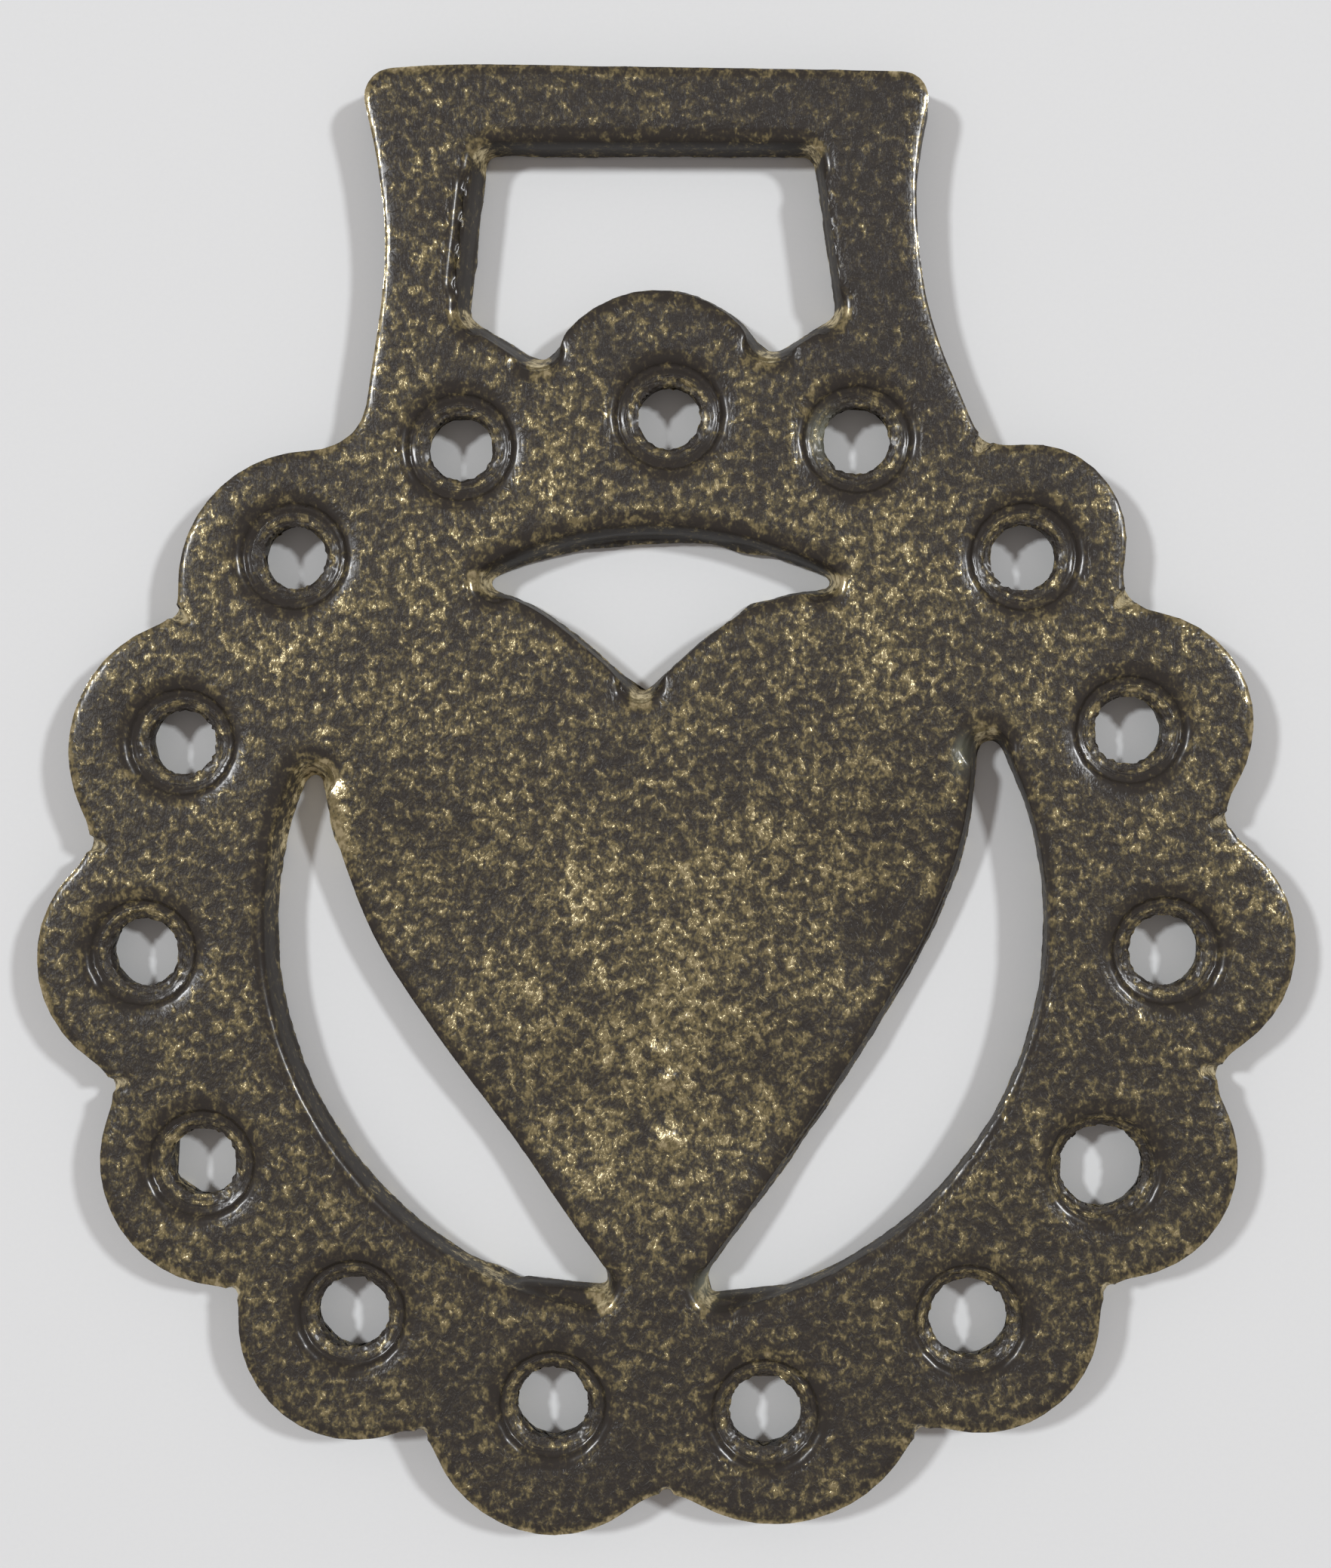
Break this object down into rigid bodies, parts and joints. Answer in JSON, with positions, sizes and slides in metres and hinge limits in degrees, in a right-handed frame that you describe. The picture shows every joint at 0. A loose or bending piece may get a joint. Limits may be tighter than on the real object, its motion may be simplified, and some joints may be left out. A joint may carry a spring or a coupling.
{
  "type": "horse brass",
  "caption": "Flat cast horse brass with a scalloped, pierced ring around a solid heart, hung from a flared strap loop, under a dark worn patina.",
  "frame": {"origin": "on the flat back, under the middle of the casting's outline", "axes": "+Z out of the face, +Y towards the strap loop, +X to the right as the face is looked at"},
  "size_m": [0.077, 0.09, 0.0032],
  "materials": {
    "patinated_brass": "cast brass under a dark grey-brown patina, with brass showing in the pits, notches and worn rims"
  },
  "bodies": {
    "root": {"horse_brass": "patinated_brass"}
  },
  "joints": []
}
